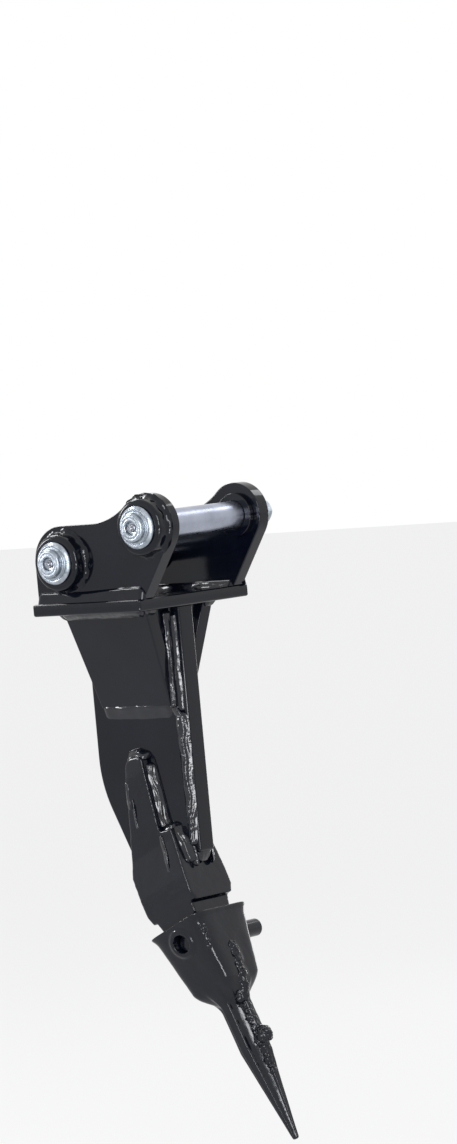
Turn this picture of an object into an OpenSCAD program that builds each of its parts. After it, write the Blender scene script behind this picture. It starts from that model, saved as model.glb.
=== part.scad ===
// Single-shank ripper for a small excavator, hung from two hitch pins.
// Millimetres. Origin on the front hitch pin's axis at mid-width.
// +X points forward, towards the tooth's tip, +Y to the far ear and +Z up.

/* [Hitch pins] */
// Diameter of both hitch pins
pin_d = 30; // [25:1:40]
// Fore-and-aft distance between the two pins
pin_centres = 118; // [100:1:160]
// How far the rear pin lies below the front one
pin_drop = 32; // [10:1:45]
// Radial clearance of a pin in its bores
pin_clear = 0.2; // [0.1:0.05:0.5]

/* [Ears] */
// Clear width between the ears
ear_gap = 132; // [100:1:180]
// Thickness of an ear plate
ear_t = 16; // [10:1:25]
// Radius of an ear's front lobe
front_lobe_r = 34; // [32:1:40]
// Radius of an ear's rear lobe
rear_lobe_r = 38; // [33:1:42]
// How far each lobe's centre lies behind its pin
lobe_back = 3; // [0:0.5:5]
// Radius of the saddle between the lobes
saddle_r = 80; // [60:1:110]

/* [Bosses and end caps] */
// Diameter of a boss collar outside an ear
boss_d = 60; // [54:1:64]
// Length of a boss collar
boss_l = 15; // [10:1:22]
// Chamfer on a boss collar
boss_chamfer = 3; // [1:0.5:5]
// Diameter of a plated end cap
cap_d = 45; // [42:1:52]
// Thickness of an end cap's flange
cap_t = 5; // [3:0.5:8]
// Diameter of the raised middle of an end cap
cap_hub_d = 30; // [24:1:34]
// Height of the raised middle above the flange
cap_hub_h = 7; // [4:0.5:10]
// Diameter of the recess in an end cap's middle
cap_dimple_d = 15; // [10:1:18]
// Depth of that recess
cap_dimple_h = 4; // [2:0.5:6]
// Thread diameter of a grease nipple
nipple_d = 6; // [5:0.5:8]
// Diameter of a plain collar on the far side
collar_d = 44; // [40:1:50]
// Length of a far collar
collar_l = 12; // [8:1:16]
// Diameter of the retaining washer on a pin's far end
washer_d = 34; // [32:1:40]
// Thickness of that washer
washer_t = 5; // [3:0.5:8]
// Width across the flats of the bolt in a pin's far end
bolt_af = 22; // [18:1:24]
// Height of that bolt's head
bolt_head = 13; // [8:0.5:15]
// Thread diameter of that bolt
bolt_d = 14; // [10:1:16]
// Depth of the bolt in the pin
bolt_l = 30; // [20:1:40]
// Diameter of a boss lock screw
screw_d = 8; // [6:1:10]
// Length of a boss lock screw
screw_l = 13; // [10:1:14]
// Outer diameter of a ring between an ear and the bay
ring_d = 46; // [40:1:56]
// Width of that ring
ring_l = 6; // [4:0.5:10]

/* [Base plate] */
// Height of the front pin above the base plate
base_drop = 75; // [68:1:95]
// Thickness of the base plate
base_t = 13; // [10:1:20]
// How far the base plate stands out past an ear
base_ledge = 8; // [6:1:14]
// Distance from the front pin back to the base plate's front edge
base_front = 13; // [8:1:18]
// Length of the base plate
base_l = 149; // [145:1:180]

/* [Shank] */
// Thickness of the shank blade
shank_t = 30; // [24:1:40]
// Distance from the front pin back to the blade's front edge
shank_front = 37; // [32:1:42]
// Width of the blade, front to rear
shank_w = 118; // [105:1:122]
// Radius of the bend in the blade's rear edge
bend_r = 130; // [60:5:160]
// Forward tilt of the nose and tooth
nose_tilt = 25; // [20:1:30]

/* [Cheek plates] */
// Thickness of a cheek plate
cheek_t = 16; // [10:1:18]
// Distance between the cheeks' outer faces, under the base plate
cheek_top_w = 112; // [95:1:120]
// Height of a cheek plate
cheek_h = 106; // [90:1:120]
// Thickness of a cheek at its lower end
cheek_foot = 3; // [2:0.5:5]
// How far a cheek's rear edge stands in from the blade's at the top
cheek_rear_in = 6; // [2:1:10]
// How far a cheek's front edge stands ahead of the blade's at the top
cheek_fore = 2; // [0:0.5:4]
// How far a cheek's edges draw in at its lower end
cheek_in = 9; // [5:1:14]
// Thickness of the plate that closes the throat behind a cheek's front edge
throat_t = 12; // [8:1:16]
// How far that plate stands back from the blade's front edge
throat_back = 5; // [3:0.5:8]

/* [Front wear bar] */
// Width of the wear bar
bar_w = 23; // [16:1:28]
// Thickness of the wear bar
bar_t = 10; // [6:1:16]
// Length of the wear bar
bar_l = 262; // [235:1:268]

/* [Nose adapter] */
// Forward distance of the tooth's rim centre behind the front pin
rim_back = 50; // [46:1:54]
// Height of the tooth's rim centre below the front pin
rim_drop = 424; // [420:1:432]
// Gap between the adapter's shoulder and the tooth's rim
shoulder_gap = 14; // [8:1:18]
// Width of the adapter across the shank
adapter_w = 70; // [64:1:76]
// Depth of the adapter, front to rear
adapter_d = 69; // [66:1:74]
// Thickness of a strap on the side of the blade
strap_t = 13; // [9:1:16]
// Width of a strap at its top
strap_w = 25; // [20:1:32]
// Height of a strap's top, below the front pin
strap_drop = 245; // [235:1:255]
// How far a strap's rear edge stands in from the blade's
strap_in = 46; // [40:1:52]
// Length of a strap from its top down to the ledge
strap_l = 80; // [70:1:88]
// How far a strap's front edge runs forward on its way to the ledge
strap_slant = 16; // [10:1:20]
// Width of the ledge between a strap and the adapter's front corner
ledge_w = 16; // [12:1:20]
// Height over which the adapter draws in from its shoulder to the straps
adapter_h = 70; // [60:1:76]
// Clearance between the adapter's fork and the blade
fork_clear = 0.3; // [0.1:0.1:1]
// Depth of solid casting between the blade's end and the shoulder
adapter_web = 48; // [40:1:54]
// Length of the nose below the shoulder
nose_l = 86; // [70:1:92]
// Width and depth of the nose at the shoulder
nose_top = [56, 62]; // [40:1:70]
// Width and depth of the nose at its end
nose_end = [26, 28]; // [16:1:36]

/* [Tooth] */
// Length of the tooth from rim to tip
tooth_l = 254; // [220:1:280]
// Depth of the rim, front to rear
rim_d = 74; // [70:1:84]
// Width of the rim across the shank
rim_w = 86; // [80:1:94]
// Length of the socket body below the rim
body_l = 76; // [72:1:90]
// Depth of the body at its lower end, front to rear
body_low_d = 58; // [50:1:64]
// Width of the body at its lower end
body_low_w = 56; // [50:1:64]
// Length of the neck between the body and the spike
neck_l = 30; // [24:1:40]
// How far the rim's lip flares out
rim_flare = 3; // [0:0.5:5]
// Width of the spike over its ribs, where it leaves the body
spike_d = 36; // [32:1:42]
// Width of each of the spike's four ribs, where it leaves the body
rib_w = 14; // [10:1:20]
// Distance from the rim to the start of the spike's taper
spike_taper_at = 148; // [125:1:170]
// Diameter of the blunt tip
tip_d = 7; // [5:0.5:12]
// Height of the rough cast spine along the front rib
spine_h = 3; // [0:0.5:5]
// Diameter of the raised boss round the pin hole
pin_boss_d = 30; // [27:1:34]
// Height of that boss
pin_boss_h = 2.5; // [1:0.5:4]
// Clearance between the nose and the socket
socket_clear = 0.4; // [0.2:0.1:1]
// Diameter of the cast lump on the spike's front
lump_d = 18; // [10:1:22]
// Distance of the lump from the rim
lump_at = 141; // [120:1:170]
// How far the lump's centre stands out from the front rib
lump_out = 4; // [0:0.5:6]

/* [Tooth pin] */
// Diameter of the tooth pin
tooth_pin_d = 19; // [14:1:20]
// Length of the tooth pin
tooth_pin_l = 118; // [110:1:124]
// Distance of the tooth pin from the rim
tooth_pin_at = 21; // [18:1:24]
// How far the pin stands out past the rim's far side
tooth_pin_out = 42; // [34:1:48]
// Outer diameter of the pin's retaining ring
keeper_d = 27; // [25:1:30]
// Width of the retaining ring
keeper_l = 5; // [3:0.5:7]

/* [Welds] */
// Leg of the weld between an ear and the base plate
ear_weld = 7; // [4:0.5:8]
// Leg of the weld at the top of a cheek
cheek_weld = 8; // [4:0.5:10]
// Leg of the weld at a cheek's foot, down the blade
foot_weld = 12; // [8:0.5:16]
// Leg of the welds along the wear bar
bar_weld = 6; // [3:0.5:7]
// Leg of the weld round an adapter strap
strap_weld = 6; // [3:0.5:8]

/* [Hidden] */
$fn = 64;

paint = [0.05, 0.05, 0.06];
plated = [0.72, 0.75, 0.8];
bright = [0.6, 0.6, 0.64];
bead = [0.1, 0.1, 0.11];

front_pin = [0, 0];
rear_pin = [-pin_centres, -pin_drop];
pins = [front_pin, rear_pin];
// Turn of a pin's lock screws, from straight up towards the front
function screw_turn(p) = p == front_pin ? 50 : 75;
pin_hole_d = pin_d + 2 * pin_clear;
ear_in = ear_gap / 2;
ear_out = ear_in + ear_t;
boss_end = ear_out + boss_l;
cap_face = boss_end + cap_t;
cap_end = cap_face + cap_hub_h;
collar_end = ear_out + collar_l;
washer_end = collar_end + washer_t;

base_top = -base_drop;
base_low = base_top - base_t;
base_half = ear_out + base_ledge;
base_rear = base_front + base_l;

front_lobe = front_pin - [lobe_back, 0];
rear_lobe = rear_pin - [lobe_back, 0];
rear_top = rear_lobe[1] + rear_lobe_r;
ear_rear = rear_lobe[0] - rear_lobe_r;

// Saddle arc, tangent to the rear lobe's flat top and to the front lobe
saddle_reach = front_lobe_r + saddle_r;
saddle_rise = rear_top + saddle_r - front_lobe[1];
saddle_x = front_lobe[0] - sqrt(saddle_reach * saddle_reach - saddle_rise * saddle_rise);
saddle_c = [saddle_x, rear_top + saddle_r];
saddle_end = front_lobe + (saddle_c - front_lobe) * front_lobe_r / saddle_reach;

// Point where a line from p just touches a circle of radius r round c
function touch(p, c, r, side) =
    let (d = c - p, l = norm(d), a = atan2(d[1], d[0]) + side * asin(r / l))
    p + sqrt(l * l - r * r) * [cos(a), sin(a)];
ear_corner = [-base_front, base_top];
ear_touch = touch(ear_corner, front_lobe, front_lobe_r, -1);

shank_rear = shank_front + shank_w;
blade_half = shank_t / 2;
rim_c = [-rim_back, -rim_drop];
axis_down = [sin(nose_tilt), -cos(nose_tilt)];
axis_fore = [cos(nose_tilt), sin(nose_tilt)];
// Side-view point at a height up from the rim and a distance fore of its axis
function on_nose(fore, up) = rim_c + fore * axis_fore - up * axis_down;

adapter_half = adapter_w / 2;
strap_half = blade_half + fork_clear + strap_t;
adapter_fore = adapter_d / 2 + 1;
adapter_aft = adapter_d / 2 - 1;
blade_end = shoulder_gap + adapter_web;
// Casting ahead of the blade's foot
blade_wall = 5;
blade_fore = adapter_fore - blade_wall;
blade_aft = adapter_aft - 1;
strap_top = -strap_drop;
strap_aft = strap_in - shank_rear;
strap_fore = strap_aft + strap_w;
strap_corner = strap_w / 4;
strap_run = strap_slant / (strap_l - strap_corner);
ledge = [strap_fore + strap_slant, strap_top - strap_l];
adapter_crest = ledge + [ledge_w, ledge_w / 5];
adapter_top = shoulder_gap + adapter_h;

cheek_half = cheek_top_w / 2;
cheek_low = base_low - cheek_h;
cheek_foot_half = blade_half + cheek_foot;
cheek_slope = (cheek_half - cheek_foot_half) / cheek_h;
cheek_across = cheek_t * sqrt(1 + cheek_slope * cheek_slope);
cheek_join = base_low - (cheek_half - cheek_across - blade_half) / cheek_slope;
cheek_aft_x = cheek_rear_in - shank_rear;
cheek_fore_x = cheek_fore - shank_front;

bar_front = -shank_front + bar_t;
bar_low = base_low - bar_l;
neck_at = body_l - 4;
flare_l = 12;
// Corner exponents of the body and of a rib, and how softly the flutes run into the ribs
body_sharp = 7;
rib_sharp = 6;
flute_soft = 4;
rib_share = rib_w / spike_d;
// Share of the spike's width that is left on the flat of its tip
tip_flat = 0.4;
// Where the spine starts and ends, how it fades, and its half angle
spine_from = 38;
spine_to = 182;
spine_fade = 18;
spine_turn = 16;
keeper_bore = tooth_pin_d - 2;
tooth_pin_far = rim_w / 2 + tooth_pin_out;
// Middle of the retaining ring, on the far side of mid-width
keeper_mid = 17.5;
// Play between the ring and its groove
part_gap = 0.15;
// Hollow of a fillet bead as a share of its legs, height of an ear's bead to its leg,
// and how far above the wear bar's lower end its side beads stop
bead_hollow = 0.36;
ear_weld_rise = 1.8;
bar_weld_stop = 18;

// Places children at +Y or, turned over, at -Y
module on_side(s) {
    if (s > 0) children();
    else mirror([0, 1, 0]) children();
}

// Extrudes a side-view outline across the ripper, from y0 to y1
module across(y0, y1) {
    translate([0, y1, 0]) rotate([90, 0, 0]) linear_extrude(y1 - y0) children();
}

// Solid of revolution about a pin, drawn as [radius, distance from mid-width]
module about_pin(p) {
    translate([p[0], 0, p[1]]) rotate([-90, 0, 0]) rotate_extrude() children();
}

// Round bar along Y
module round_bar(p, d, y0, y1) {
    translate([p[0], y0, p[1]]) rotate([-90, 0, 0]) cylinder(d = d, h = y1 - y0);
}

// Frame of the nose and tooth: origin at the rim's centre, -Z towards the tip
module on_tooth() {
    translate([rim_c[0], 0, rim_c[1]]) rotate([0, -nose_tilt, 0]) children();
}

// One ear plate on the far side
module ear_plate() {
    color(paint)
    difference() {
        union() {
            round_bar(front_lobe, 2 * front_lobe_r, ear_in, ear_out);
            round_bar(rear_lobe, 2 * rear_lobe_r, ear_in, ear_out);
            across(ear_in, ear_out) polygon([
                [ear_rear, base_top], ear_corner, ear_touch, front_lobe, saddle_end,
                [saddle_c[0], rear_top], [rear_lobe[0], rear_top], rear_lobe, [ear_rear, rear_lobe[1]]
            ]);
        }
        round_bar(saddle_c, 2 * saddle_r, ear_in - 1, ear_out + 1);
        for (p = pins) round_bar(p, pin_hole_d, ear_in - 1, ear_out + 1);
    }
}
module near_ear_plate() { on_side(-1) ear_plate(); }
module far_ear_plate() { on_side(1) ear_plate(); }

module base_plate() {
    color(paint)
    translate([-base_rear, -base_half, base_low]) cube([base_l, 2 * base_half, base_t]);
}

// Side view of the blade: straight down from the base plate, then bent forward
module blade_outline() {
    aft_top = on_nose(-blade_aft, blade_end);
    knee_len = bend_r * tan(nose_tilt / 2);
    knee = [-shank_rear, aft_top[1] + (aft_top[0] + shank_rear) / tan(nose_tilt)];
    knee_c = [knee[0] + bend_r, knee[1] + knee_len];
    polygon(concat(
        [[-shank_rear, base_low]],
        [for (a = [0 : nose_tilt / 8 : nose_tilt]) knee_c - bend_r * [cos(a), sin(a)]],
        [aft_top, on_nose(blade_fore, blade_end), [-shank_front, bar_low], [-shank_front, base_low]]
    ));
}

module shank_blade() {
    color(paint) across(-blade_half, blade_half) blade_outline();
}

// One cheek plate on the far side, leaning from the base plate on to the blade
module cheek_plate() {
    color(paint)
    intersection() {
        translate([cheek_aft_x, 0, 0]) rotate([90, 0, 90]) linear_extrude(cheek_fore_x - cheek_aft_x)
            polygon([
                [cheek_half, base_low], [cheek_foot_half, cheek_low], [blade_half, cheek_low],
                [blade_half, cheek_join], [cheek_half - cheek_across, base_low]
            ]);
        across(0, cheek_half + 1) polygon([
            [cheek_aft_x, base_low], [cheek_aft_x + cheek_in, cheek_low],
            [cheek_fore_x - cheek_in, cheek_low], [cheek_fore_x, base_low]
        ]);
    }
}
module near_cheek_plate() { on_side(-1) cheek_plate(); }
module far_cheek_plate() { on_side(1) cheek_plate(); }

// Plates that close the throat between each cheek and the blade, near their front edges
module throat_plates() {
    color(paint)
    for (s = [-1, 1]) on_side(s)
        translate([-shank_front - throat_back - throat_t, 0, 0]) rotate([90, 0, 90]) linear_extrude(throat_t)
            polygon([
                [blade_half, base_low], [blade_half, cheek_join], [cheek_half - cheek_across, base_low]
            ]);
}

// Flat bar on the blade's front edge, with a sloped lower end
module front_wear_bar() {
    color(paint)
    across(-bar_w / 2, bar_w / 2) polygon([
        [-shank_front, base_low], [-shank_front, bar_low], [bar_front - 2, bar_low],
        [bar_front, bar_low + 4], [bar_front, base_low]
    ]);
}

// Tapered block from z0 up to z1, each end given as [fore-and-aft, across]
module taper(low, high, z0, z1) {
    a = low / 2;
    b = high / 2;
    polyhedron(
        points = [
            [-a[0], -a[1], z0], [a[0], -a[1], z0], [a[0], a[1], z0], [-a[0], a[1], z0],
            [-b[0], -b[1], z1], [b[0], -b[1], z1], [b[0], b[1], z1], [-b[0], b[1], z1]
        ],
        faces = [
            [0, 1, 2, 3], [7, 6, 5, 4], [4, 5, 1, 0], [5, 6, 2, 1], [6, 7, 3, 2], [7, 4, 0, 3]
        ]
    );
}

// Side view of the adapter: shoulder, front corner, ledge and straps up the blade
module adapter_outline() {
    heel_r = strap_w / 2;
    polygon(concat(
        [on_nose(-adapter_aft, shoulder_gap), on_nose(adapter_fore, shoulder_gap), adapter_crest, ledge],
        [for (a = [0 : 15 : 90]) [strap_fore, strap_top] + strap_corner * [cos(a) - 1, sin(a) - 1]],
        [for (a = [90 : 15 : 180]) [strap_aft, strap_top] + heel_r * [cos(a) + 1, sin(a) - 1]],
        [[strap_aft, ledge[1] - ledge_w / 2], on_nose(-adapter_aft, adapter_h)]
    ));
}

// Front view of the adapter: full width at the shoulder, drawn in to the straps
module adapter_front() {
    lip = adapter_w / 14;
    full = shoulder_gap + 2 * lip;
    high = adapter_top + strap_l + 2 * strap_w;
    for (s = [0, 1]) mirror([s, 0]) polygon([
        [0, shoulder_gap], [adapter_half - lip, shoulder_gap], [adapter_half, full],
        [adapter_half - 1, full + 4 * lip], [strap_half + 1, adapter_top],
        [strap_half, adapter_top + strap_l], [strap_half - strap_t / 3, high], [0, high]
    ]);
}

// Weld-on adapter: forked straps over the blade, shoulder and tapered nose
module nose_adapter() {
    span = 4 * adapter_d;
    color(paint)
    difference() {
        union() {
            intersection() {
                across(-adapter_half - 1, adapter_half + 1) adapter_outline();
                on_tooth() translate([-span / 2, 0, 0]) rotate([90, 0, 90])
                    linear_extrude(span) adapter_front();
            }
            on_tooth() taper(nose_end, nose_top, shoulder_gap - nose_l, shoulder_gap);
        }
        across(-blade_half - fork_clear, blade_half + fork_clear)
            offset(delta = fork_clear) blade_outline();
        on_tooth() translate([0, 0, -tooth_pin_at]) {
            round_bar([0, 0], tooth_pin_d + 2 * pin_clear, -adapter_w, adapter_w);
            round_bar([0, 0], keeper_d + 2 * pin_clear, keeper_mid - keeper_l / 2 - part_gap, adapter_w);
        }
    }
}

function blend(a, b, t) = a + (b - a) * t;
function smooth(t) = t * t * (3 - 2 * t);
function unit(t) = min(1, max(0, t));

// Half sizes of the tooth at a distance u below the rim
function body_t(u) = unit(u / body_l);
function neck_t(u) = smooth(unit((u - neck_at) / neck_l));
function flare(u) = rim_flare * pow(max(0, 1 - u / flare_l), 2);
function spike_r(u) = blend(spike_d, tip_d, max(0, u - spike_taper_at) / (tooth_l - spike_taper_at)) / 2;
function body_fore(u) = blend(rim_d / 2, body_low_d / 2, body_t(u)) + flare(u);
function body_across(u) = blend(rim_w / 2, body_low_w / 2, body_t(u)) + flare(u);

// Distance from the tooth's axis to its skin: boxed body, ribbed spike and spine
function power_r(c, s, k) = pow(pow(abs(c), k) + pow(abs(s), k), -1 / k);
function body_r(u, a) = power_r(cos(a) / body_fore(u), sin(a) / body_across(u), body_sharp);
function rib_r(c, s) = power_r(c, s / rib_share, rib_sharp);
function cross_r(c, s) = pow(pow(rib_r(c, s), flute_soft) + pow(rib_r(s, c), flute_soft), 1 / flute_soft);
function ribbed_r(u, a) = spike_r(u) * cross_r(cos(a), sin(a));
function turn_from_front(a) = a > 180 ? 360 - a : a;
function spine_on(u) =
    smooth(unit((u - spine_from) / spine_fade)) * smooth(unit((spine_to - u) / spine_fade));
function spine(u, a) = spine_h * spine_on(u) * exp(-pow(turn_from_front(a) / spine_turn, 2));
function skin_r(u, a) = blend(body_r(u, a), ribbed_r(u, a), neck_t(u)) + spine(u, a);

// Cast tooth: flared socket body drawn into a long spike with four ribs and a blunt tip
module tooth_skin() {
    n = 48;
    neck_end = neck_at + neck_l;
    steps = concat(
        [for (k = [0 : 3]) flare_l * k / 3],
        [for (k = [1 : 5]) blend(flare_l, neck_at, k / 5)],
        [for (k = [1 : 8]) blend(neck_at, neck_end, k / 8)],
        [for (k = [1 : 3]) blend(neck_end, spike_taper_at, k / 3)],
        [for (k = [1 : 6]) blend(spike_taper_at, tooth_l - tip_d / 2, k / 6)],
        [tooth_l]
    );
    m = len(steps);
    rings = [for (u = steps) let (end = u == tooth_l ? tip_flat : 1)
        [for (i = [0 : n - 1]) let (a = 360 * i / n, r = end * skin_r(u, a)) [r * cos(a), r * sin(a), -u]]];
    points = [for (r = rings) each r];
    faces = concat(
        [[for (i = [0 : n - 1]) n - 1 - i]],
        [[for (i = [0 : n - 1]) (m - 1) * n + i]],
        [for (k = [0 : m - 2], i = [0 : n - 1])
            let (j = (i + 1) % n) [k * n + i, k * n + j, (k + 1) * n + j, (k + 1) * n + i]]
    );
    polyhedron(points = points, faces = faces, convexity = 6);
}

module ripper_tooth() {
    c2 = 2 * socket_clear;
    room = [c2, c2];
    boss_half = body_across(tooth_pin_at) + pin_boss_h;
    color(paint)
    on_tooth()
    difference() {
        union() {
            tooth_skin();
            translate([spike_r(lump_at) + lump_out, 0, -lump_at]) sphere(d = lump_d);
            translate([0, 0, -tooth_pin_at]) round_bar([0, 0], pin_boss_d, -boss_half, boss_half);
        }
        taper(nose_end + room, nose_top + room, shoulder_gap - nose_l - socket_clear, shoulder_gap);
        translate([0, 0, -tooth_pin_at])
            round_bar([0, 0], tooth_pin_d + 2 * pin_clear, -rim_w, rim_w);
    }
}

// Grooved pin through the tooth and the nose, standing out on the far side
module tooth_pin() {
    r = tooth_pin_d / 2;
    c = 1.5;
    g0 = keeper_mid - keeper_l / 2 - part_gap;
    g1 = keeper_mid + keeper_l / 2 + part_gap;
    y0 = tooth_pin_far - tooth_pin_l;
    color(paint)
    on_tooth() about_pin([0, -tooth_pin_at]) polygon([
        [0, y0], [r - c, y0], [r, y0 + c], [r, g0], [keeper_bore / 2, g0], [keeper_bore / 2, g1],
        [r, g1], [r, tooth_pin_far - c], [r - c, tooth_pin_far], [0, tooth_pin_far]
    ]);
}

// Spring ring in the pin's groove, seated in the side of the nose
module tooth_pin_keeper() {
    color(bright)
    on_tooth() about_pin([0, -tooth_pin_at])
        translate([keeper_bore / 2 + part_gap, keeper_mid - keeper_l / 2])
            square([keeper_d / 2 - keeper_bore / 2 - part_gap, keeper_l]);
}

// Hitch pin: flush with its boss on the near side and with its collar on the far side,
// where it is drilled for the retaining bolt
module hitch_pin(p) {
    r = pin_d / 2;
    c = 1;
    hole = bolt_d / 2 + pin_clear;
    drill = collar_end - bolt_l - c;
    color(bright)
    about_pin(p) polygon([
        [0, -boss_end], [r - c, -boss_end], [r, c - boss_end], [r, collar_end - c],
        [r - c, collar_end], [hole, collar_end], [hole, drill], [0, drill]
    ]);
}
module front_hitch_pin() { hitch_pin(front_pin); }
module rear_hitch_pin() { hitch_pin(rear_pin); }

// Boss collar on the outside of an ear, tapped for its lock screw
module boss(p) {
    r = boss_d / 2;
    color(paint)
    difference() {
        about_pin(p) polygon([
            [pin_hole_d / 2, ear_out], [r, ear_out], [r, boss_end - boss_chamfer],
            [r - boss_chamfer, boss_end], [pin_hole_d / 2, boss_end]
        ]);
        lock_screw_place(p) cylinder(d = screw_d, h = boss_d);
    }
}
module front_near_boss() { on_side(-1) boss(front_pin); }
module rear_near_boss() { on_side(-1) boss(rear_pin); }

// Plain collar on the outside of the far ear
module far_collar(p) {
    r = collar_d / 2;
    c = 2;
    color(paint)
    about_pin(p) polygon([
        [pin_hole_d / 2, ear_out], [r, ear_out], [r, collar_end - c],
        [r - c, collar_end], [pin_hole_d / 2, collar_end]
    ]);
}
module front_far_collar() { far_collar(front_pin); }
module rear_far_collar() { far_collar(rear_pin); }

// Retaining washer on the far end of both pins
module pin_washers() {
    hole = bolt_d / 2 + pin_clear;
    color(plated)
    for (p = pins) about_pin(p)
        translate([hole, collar_end]) square([washer_d / 2 - hole, washer_t]);
}

// Hexagon bolt in the far end of both pins
module pin_bolts() {
    head_d = bolt_af / cos(30);
    dome_d = bolt_af + 2;
    color(plated)
    for (p = pins) {
        round_bar(p, bolt_d, collar_end - bolt_l, washer_end);
        intersection() {
            translate([p[0], washer_end, p[1]]) rotate([-90, 0, 0])
                cylinder(d = head_d, h = bolt_head, $fn = 6);
            translate([p[0], washer_end, p[1]]) rotate([-90, 0, 0])
                cylinder(d1 = dome_d + 2 * bolt_head, d2 = dome_d - 2, h = bolt_head);
        }
    }
}

// Plated end cap: flange, raised hub and a recess for the nipple
module end_cap(p) {
    r = cap_d / 2;
    h = cap_hub_d / 2;
    c = 1.5;
    floor_y = cap_end - cap_dimple_h;
    color(plated)
    about_pin(p) polygon([
        [nipple_d / 2, boss_end], [r, boss_end], [r, cap_face - 2 * c], [r - 2 * c, cap_face],
        [h + c, cap_face], [h, cap_face + c], [h, cap_end - c], [h - c, cap_end],
        [cap_dimple_d / 2, cap_end], [cap_dimple_d / 2 - c, floor_y], [nipple_d / 2, floor_y]
    ]);
}
module front_near_cap() { on_side(-1) end_cap(front_pin); }
module rear_near_cap() { on_side(-1) end_cap(rear_pin); }

// Rings on the pin, on the inside of both ears
module bay_rings(p) {
    color(paint)
    for (s = [-1, 1]) on_side(s)
        about_pin(p) translate([pin_hole_d / 2, ear_in - ring_l])
            square([(ring_d - pin_hole_d) / 2, ring_l]);
}
module front_bay_rings() { bay_rings(front_pin); }
module rear_bay_rings() { bay_rings(rear_pin); }

// Grease nipple in both end caps
module grease_nipples() {
    r = nipple_d / 2;
    floor_y = cap_end - cap_dimple_h;
    color(plated)
    for (p = pins) on_side(-1)
        about_pin(p) polygon([
            [0, boss_end], [r, boss_end], [r, floor_y], [r + 1, floor_y], [r + 1, floor_y + 1.5],
            [r - 1, floor_y + 2.5], [r - 0.5, floor_y + 4], [r - 1.5, floor_y + 5], [0, floor_y + 5]
        ]);
}

// Frame of a lock screw: on the pin's skin, halfway along the boss
module lock_screw_place(p) {
    translate([p[0], ear_out + boss_l / 2 - boss_chamfer / 2, p[1]])
        rotate([0, screw_turn(p), 0]) translate([0, 0, pin_d / 2 + pin_clear]) children();
}

// Lock screws that hold the pins, with a hexagon socket
module boss_lock_screws() {
    color(bright)
    for (p = pins) on_side(-1) lock_screw_place(p)
        difference() {
            cylinder(d = screw_d, h = screw_l);
            translate([0, 0, screw_l - screw_d / 2]) cylinder(d = screw_d / 2, h = screw_d, $fn = 6);
        }
}

// Fillet bead with two square legs, drawn in the corner of two plates
module bead_section(leg_y, leg_z) {
    polygon([[0, 0], [leg_y, 0], [leg_y, leg_z] * bead_hollow, [0, leg_z]]);
}

// Beads along the foot of an ear, outside and inside
module ear_welds() {
    length = base_l - (base_rear + ear_rear);
    color(bead)
    for (s = [0, 1])
        translate([ear_rear, s == 0 ? ear_out : ear_in, base_top])
            mirror([0, s, 0]) rotate([90, 0, 90])
                linear_extrude(length) bead_section(ear_weld, ear_weld_rise * ear_weld);
}
module near_ear_welds() { on_side(-1) ear_welds(); }
module far_ear_welds() { on_side(1) ear_welds(); }

// Beads under the base plate, along the top of both cheeks
module cheek_top_welds() {
    color(bead)
    for (s = [-1, 1]) on_side(s)
        translate([cheek_aft_x, 0, 0]) rotate([90, 0, 90])
            linear_extrude(cheek_fore_x - cheek_aft_x - cheek_weld / 4)
                polygon([
                    [cheek_half, base_low], [cheek_half + cheek_weld, base_low],
                    [cheek_half + cheek_weld * 0.2, base_low - cheek_weld * 0.5],
                    [cheek_half - cheek_slope * cheek_weld, base_low - cheek_weld]
                ]);
}

// Beads along the lower end of both cheeks
module cheek_foot_welds() {
    color(bead)
    for (s = [-1, 1]) on_side(s)
        translate([cheek_aft_x + cheek_in, 0, cheek_low]) mirror([0, 0, 1])
            translate([0, blade_half, 0]) rotate([90, 0, 90])
                linear_extrude(cheek_fore_x - cheek_aft_x - 2 * cheek_in) bead_section(cheek_foot, foot_weld);
}

// Beads down both sides of the wear bar, on the blade's front edge
module wear_bar_welds() {
    leg = min(bar_weld, blade_half - bar_w / 2);
    low = bar_low + bar_weld_stop;
    color(bead)
    for (s = [-1, 1]) on_side(s)
        translate([-shank_front, bar_w / 2, low]) linear_extrude(base_low - low)
            polygon([[0, 0], [leg * 2, 0], [leg, leg * 0.6], [0, leg]]);
}

// Beads on the blade along the front edge of both straps
module strap_welds() {
    start = strap_corner * 2;
    x0 = strap_fore - strap_run * strap_corner;
    color(bead)
    for (s = [-1, 1]) on_side(s)
        multmatrix([[1, 0, -strap_run, x0], [0, 1, 0, blade_half], [0, 0, 1, strap_top]])
            translate([0, 0, strap_corner - strap_l]) linear_extrude(strap_l - strap_corner - start)
                polygon([
                    [0, fork_clear], [0, 0], [strap_weld, 0],
                    [strap_weld * 0.3, strap_weld], [0, strap_weld * 1.4]
                ]);
}

near_ear_plate();
far_ear_plate();
base_plate();
shank_blade();
near_cheek_plate();
far_cheek_plate();
throat_plates();
front_wear_bar();
nose_adapter();
ripper_tooth();
tooth_pin();
tooth_pin_keeper();
front_hitch_pin();
rear_hitch_pin();
front_near_boss();
rear_near_boss();
front_near_cap();
rear_near_cap();
front_far_collar();
rear_far_collar();
pin_washers();
pin_bolts();
front_bay_rings();
rear_bay_rings();
grease_nipples();
boss_lock_screws();
near_ear_welds();
far_ear_welds();
cheek_top_welds();
cheek_foot_welds();
wear_bar_welds();
strap_welds();
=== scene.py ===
import math
import bpy
from mathutils import Matrix, Vector, noise


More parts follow.
